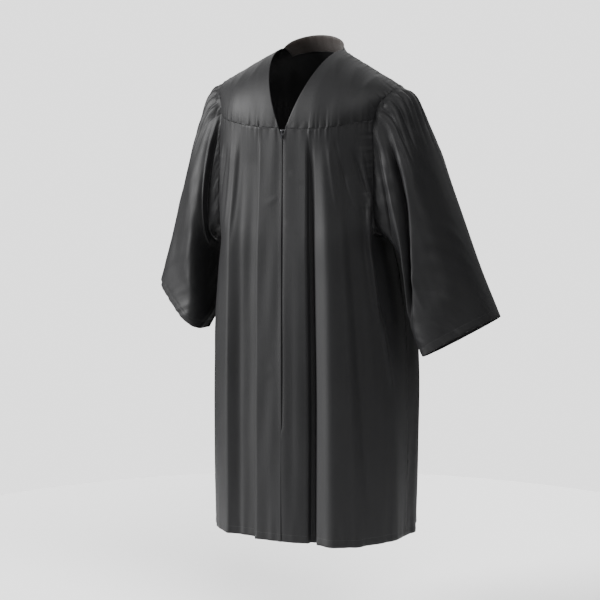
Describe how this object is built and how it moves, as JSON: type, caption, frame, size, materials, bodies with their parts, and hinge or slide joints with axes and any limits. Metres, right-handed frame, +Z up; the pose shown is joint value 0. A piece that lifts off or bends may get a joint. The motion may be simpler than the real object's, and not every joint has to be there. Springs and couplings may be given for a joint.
{
  "type": "graduation gown",
  "caption": "Long black graduation gown, filled out as worn: V neck, shoulder yoke, fluted fronts and back, centre front zip and wide bell sleeves.",
  "frame": {"origin": "base of the neck, between the neck ends of the two shoulder seams, where the wearer's shoulders hold the gown", "axes": "+Z up, the wearer faces -Y, +X towards the wearer's left"},
  "size_m": [0.914, 0.3964, 1.225],
  "materials": {
    "front_left": "satin",
    "front_right": "satin",
    "back": "satin",
    "yoke_front_left": "satin",
    "yoke_front_right": "satin",
    "yoke_back": "satin",
    "sleeve_left": "satin",
    "sleeve_right": "satin",
    "neck_facing": "matte",
    "zip_tape": "matte",
    "zip_slider": "gloss",
    "zip_pull": "gloss"
  },
  "bodies": {
    "gown": {"front_left": "front_left", "front_right": "front_right", "back": "back", "yoke_front_left": "yoke_front_left", "yoke_front_right": "yoke_front_right", "yoke_back": "yoke_back", "sleeve_left": "sleeve_left", "sleeve_right": "sleeve_right", "neck_facing": "neck_facing", "zip_tape": "zip_tape", "zip_slider": "zip_slider"},
    "pull_tab": {"zip_pull": "zip_pull"}
  },
  "joints": [
    {"name": "pull_tab_swing", "type": "hinge", "parent": "gown", "child": "pull_tab", "pos_m": [0, -0.15343, -0.20463], "axis": [-1, 0, 0], "range_deg": [0, 150]}
  ]
}
